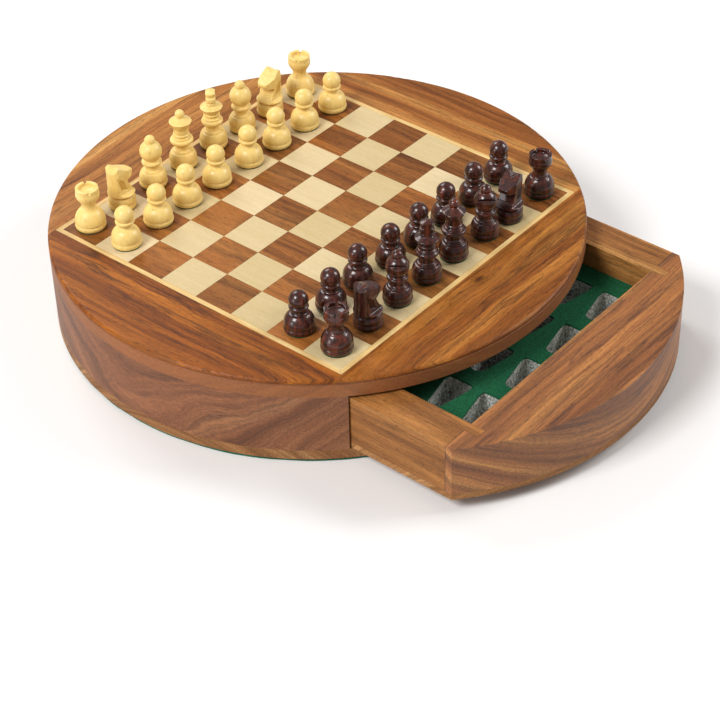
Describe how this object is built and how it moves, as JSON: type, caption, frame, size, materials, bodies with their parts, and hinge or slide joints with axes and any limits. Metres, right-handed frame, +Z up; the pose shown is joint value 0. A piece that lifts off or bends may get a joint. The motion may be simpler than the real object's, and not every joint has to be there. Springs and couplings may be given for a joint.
{
  "type": "chess box with drawers",
  "caption": "Round wooden chess box: a board let into the lid, two sliding drawers with cut foam slots underneath, and turned chess men that lift off the board.",
  "frame": {"origin": "centre of the case's underside", "axes": "+Z up; the front drawer slides out towards -Y and the rear one towards +Y, and White stands at +Y; +X along the ranks, to White's left"},
  "size_m": [0.305, 0.37, 0.093],
  "materials": {
    "maple_veneer": "satin",
    "rosewood_veneer": "satin",
    "maple_strip": "satin",
    "lid_wood_x": "satin",
    "lid_wood_y": "satin",
    "steel": "bare",
    "plywood": "bare",
    "side_wood": "satin",
    "bottom_wood": "satin",
    "baize": "matt",
    "face_wood": "satin",
    "rail_wood": "satin",
    "drawer_wood": "satin",
    "tray_wood": "satin",
    "foam": "matt",
    "felt": "matt",
    "boxwood": "satin",
    "dark_wood": "gloss"
  },
  "bodies": {
    "case": {"light_squares": "maple_veneer", "dark_squares": "rosewood_veneer", "border_strips": "maple_strip", "front_segment": "lid_wood_x", "rear_segment": "lid_wood_x", "left_segment": "lid_wood_y", "right_segment": "lid_wood_y", "steel_sheet": "steel", "board_core": "plywood", "left_block": "side_wood", "right_block": "side_wood", "divider": "drawer_wood", "bottom_disc": "bottom_wood", "baize": "baize"},
    "front_drawer": {"front_drawer_face": "face_wood", "front_drawer_left_rail": "rail_wood", "front_drawer_right_rail": "rail_wood", "front_drawer_back": "drawer_wood", "front_drawer_bottom": "tray_wood", "front_drawer_foam": "foam", "front_drawer_felt": "felt"},
    "rear_drawer": {"rear_drawer_face": "face_wood", "rear_drawer_left_rail": "rail_wood", "rear_drawer_right_rail": "rail_wood", "rear_drawer_back": "drawer_wood", "rear_drawer_bottom": "tray_wood", "rear_drawer_foam": "foam", "rear_drawer_felt": "felt"},
    "white_rook_1": {"white_rook_1": "boxwood"},
    "white_knight_1": {"white_knight_1": "boxwood"},
    "white_bishop_1": {"white_bishop_1": "boxwood"},
    "white_queen": {"white_queen": "boxwood"},
    "white_king": {"white_king": "boxwood"},
    "white_bishop_2": {"white_bishop_2": "boxwood"},
    "white_knight_2": {"white_knight_2": "boxwood"},
    "white_rook_2": {"white_rook_2": "boxwood"},
    "black_rook_1": {"black_rook_1": "dark_wood"},
    "black_knight_1": {"black_knight_1": "dark_wood"},
    "black_bishop_1": {"black_bishop_1": "dark_wood"},
    "black_king": {"black_king": "dark_wood"},
    "black_queen": {"black_queen": "dark_wood"},
    "black_bishop_2": {"black_bishop_2": "dark_wood"},
    "black_knight_2": {"black_knight_2": "dark_wood"},
    "black_rook_2": {"black_rook_2": "dark_wood"},
    "white_pawn_1": {"white_pawn_1": "boxwood"},
    "white_pawn_2": {"white_pawn_2": "boxwood"},
    "white_pawn_3": {"white_pawn_3": "boxwood"},
    "white_pawn_4": {"white_pawn_4": "boxwood"},
    "white_pawn_5": {"white_pawn_5": "boxwood"},
    "white_pawn_6": {"white_pawn_6": "boxwood"},
    "white_pawn_7": {"white_pawn_7": "boxwood"},
    "white_pawn_8": {"white_pawn_8": "boxwood"},
    "black_pawn_1": {"black_pawn_1": "dark_wood"},
    "black_pawn_2": {"black_pawn_2": "dark_wood"},
    "black_pawn_3": {"black_pawn_3": "dark_wood"},
    "black_pawn_4": {"black_pawn_4": "dark_wood"},
    "black_pawn_5": {"black_pawn_5": "dark_wood"},
    "black_pawn_6": {"black_pawn_6": "dark_wood"},
    "black_pawn_7": {"black_pawn_7": "dark_wood"},
    "black_pawn_8": {"black_pawn_8": "dark_wood"}
  },
  "joints": [
    {"name": "front_drawer_slide", "type": "slide", "parent": "case", "child": "front_drawer", "axis": [0, -1, 0], "range_m": [-0.065, 0.025]},
    {"name": "rear_drawer_slide", "type": "slide", "parent": "case", "child": "rear_drawer", "axis": [0, 1, 0], "range_m": [0, 0.09]},
    {"name": "white_rook_1_lift", "type": "slide", "parent": "case", "child": "white_rook_1", "axis": [0, 0, 1], "range_m": [0, 0.06]},
    {"name": "white_knight_1_lift", "type": "slide", "parent": "case", "child": "white_knight_1", "axis": [0, 0, 1], "range_m": [0, 0.06]},
    {"name": "white_bishop_1_lift", "type": "slide", "parent": "case", "child": "white_bishop_1", "axis": [0, 0, 1], "range_m": [0, 0.06]},
    {"name": "white_queen_lift", "type": "slide", "parent": "case", "child": "white_queen", "axis": [0, 0, 1], "range_m": [0, 0.06]},
    {"name": "white_king_lift", "type": "slide", "parent": "case", "child": "white_king", "axis": [0, 0, 1], "range_m": [0, 0.06]},
    {"name": "white_bishop_2_lift", "type": "slide", "parent": "case", "child": "white_bishop_2", "axis": [0, 0, 1], "range_m": [0, 0.06]},
    {"name": "white_knight_2_lift", "type": "slide", "parent": "case", "child": "white_knight_2", "axis": [0, 0, 1], "range_m": [0, 0.06]},
    {"name": "white_rook_2_lift", "type": "slide", "parent": "case", "child": "white_rook_2", "axis": [0, 0, 1], "range_m": [0, 0.06]},
    {"name": "black_rook_1_lift", "type": "slide", "parent": "case", "child": "black_rook_1", "axis": [0, 0, 1], "range_m": [0, 0.06]},
    {"name": "black_knight_1_lift", "type": "slide", "parent": "case", "child": "black_knight_1", "axis": [0, 0, 1], "range_m": [0, 0.06]},
    {"name": "black_bishop_1_lift", "type": "slide", "parent": "case", "child": "black_bishop_1", "axis": [0, 0, 1], "range_m": [0, 0.06]},
    {"name": "black_king_lift", "type": "slide", "parent": "case", "child": "black_king", "axis": [0, 0, 1], "range_m": [0, 0.06]},
    {"name": "black_queen_lift", "type": "slide", "parent": "case", "child": "black_queen", "axis": [0, 0, 1], "range_m": [0, 0.06]},
    {"name": "black_bishop_2_lift", "type": "slide", "parent": "case", "child": "black_bishop_2", "axis": [0, 0, 1], "range_m": [0, 0.06]},
    {"name": "black_knight_2_lift", "type": "slide", "parent": "case", "child": "black_knight_2", "axis": [0, 0, 1], "range_m": [0, 0.06]},
    {"name": "black_rook_2_lift", "type": "slide", "parent": "case", "child": "black_rook_2", "axis": [0, 0, 1], "range_m": [0, 0.06]},
    {"name": "white_pawn_1_lift", "type": "slide", "parent": "case", "child": "white_pawn_1", "axis": [0, 0, 1], "range_m": [0, 0.06]},
    {"name": "white_pawn_2_lift", "type": "slide", "parent": "case", "child": "white_pawn_2", "axis": [0, 0, 1], "range_m": [0, 0.06]},
    {"name": "white_pawn_3_lift", "type": "slide", "parent": "case", "child": "white_pawn_3", "axis": [0, 0, 1], "range_m": [0, 0.06]},
    {"name": "white_pawn_4_lift", "type": "slide", "parent": "case", "child": "white_pawn_4", "axis": [0, 0, 1], "range_m": [0, 0.06]},
    {"name": "white_pawn_5_lift", "type": "slide", "parent": "case", "child": "white_pawn_5", "axis": [0, 0, 1], "range_m": [0, 0.06]},
    {"name": "white_pawn_6_lift", "type": "slide", "parent": "case", "child": "white_pawn_6", "axis": [0, 0, 1], "range_m": [0, 0.06]},
    {"name": "white_pawn_7_lift", "type": "slide", "parent": "case", "child": "white_pawn_7", "axis": [0, 0, 1], "range_m": [0, 0.06]},
    {"name": "white_pawn_8_lift", "type": "slide", "parent": "case", "child": "white_pawn_8", "axis": [0, 0, 1], "range_m": [0, 0.06]},
    {"name": "black_pawn_1_lift", "type": "slide", "parent": "case", "child": "black_pawn_1", "axis": [0, 0, 1], "range_m": [0, 0.06]},
    {"name": "black_pawn_2_lift", "type": "slide", "parent": "case", "child": "black_pawn_2", "axis": [0, 0, 1], "range_m": [0, 0.06]},
    {"name": "black_pawn_3_lift", "type": "slide", "parent": "case", "child": "black_pawn_3", "axis": [0, 0, 1], "range_m": [0, 0.06]},
    {"name": "black_pawn_4_lift", "type": "slide", "parent": "case", "child": "black_pawn_4", "axis": [0, 0, 1], "range_m": [0, 0.06]},
    {"name": "black_pawn_5_lift", "type": "slide", "parent": "case", "child": "black_pawn_5", "axis": [0, 0, 1], "range_m": [0, 0.06]},
    {"name": "black_pawn_6_lift", "type": "slide", "parent": "case", "child": "black_pawn_6", "axis": [0, 0, 1], "range_m": [0, 0.06]},
    {"name": "black_pawn_7_lift", "type": "slide", "parent": "case", "child": "black_pawn_7", "axis": [0, 0, 1], "range_m": [0, 0.06]},
    {"name": "black_pawn_8_lift", "type": "slide", "parent": "case", "child": "black_pawn_8", "axis": [0, 0, 1], "range_m": [0, 0.06]}
  ]
}
